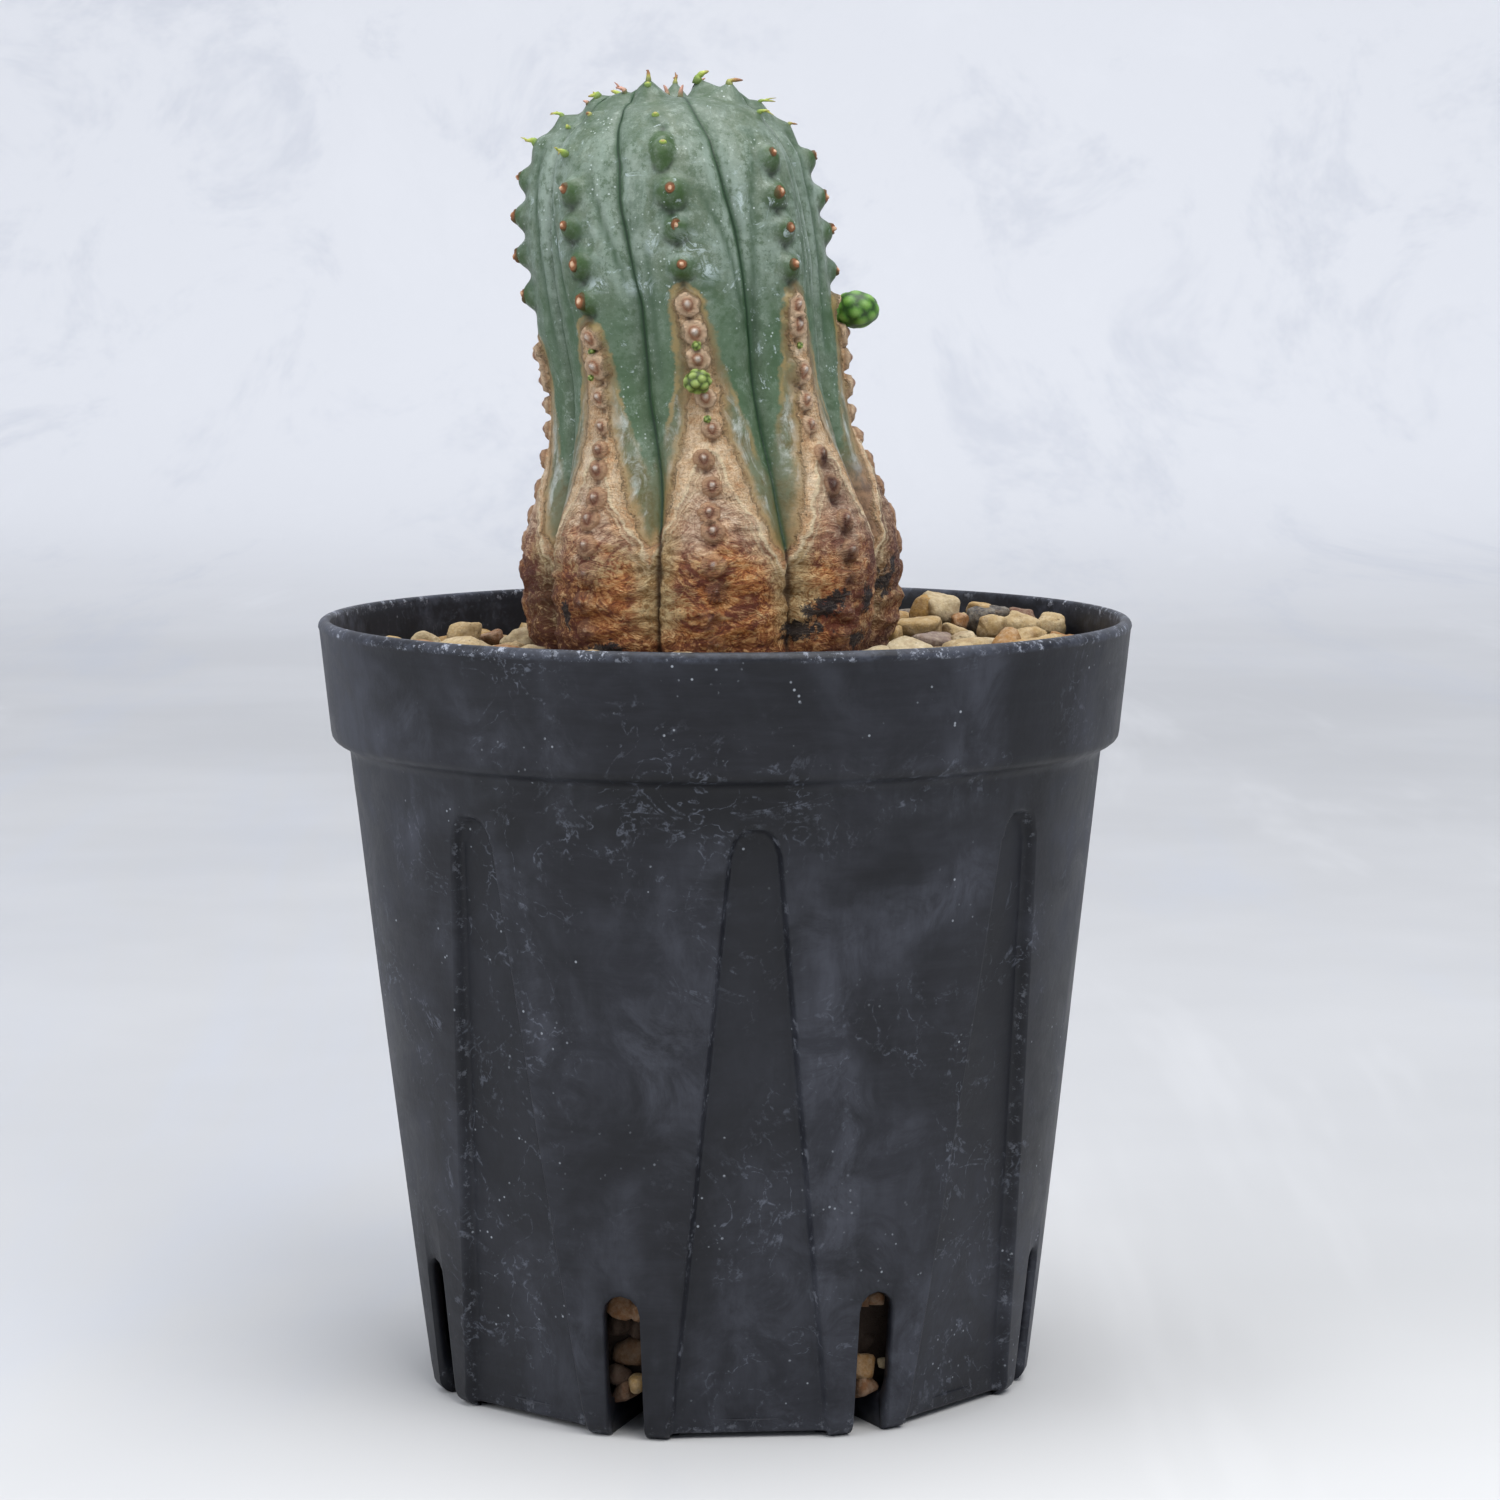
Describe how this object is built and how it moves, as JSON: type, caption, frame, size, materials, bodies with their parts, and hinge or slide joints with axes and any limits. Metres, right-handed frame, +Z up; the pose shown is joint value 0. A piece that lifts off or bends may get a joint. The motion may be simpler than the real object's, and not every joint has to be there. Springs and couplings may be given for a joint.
{
  "type": "potted baseball plant",
  "caption": "Old columnar baseball plant with ribs, tubercle rows, a corky foot and small green offsets, in a round tapered plastic slit pot filled with coarse grains.",
  "frame": {"origin": "on the pot's axis, in the plane of the toes that the pot stands on", "axes": "+Z up along the pot's axis, -Y towards the viewer of the plant's front, +X to that viewer's right"},
  "size_m": [0.075, 0.075, 0.1206],
  "materials": {
    "pot_plastic": "moulded, dusty, dull sheen, pale scuffs along the lip",
    "grains": "porous cream, ochre and rust-brown grains, dull",
    "stem_skin": "waxy grey-green skin with darker grooves, turning to tan and rust-brown cork at the foot",
    "offset_green": "fresh green skin, slightly waxy"
  },
  "bodies": {
    "root": {"pot": "pot_plastic", "gravel_bed": "grains", "stem": "stem_skin", "offset_right": "offset_green", "offset_front": "offset_green"}
  },
  "joints": []
}
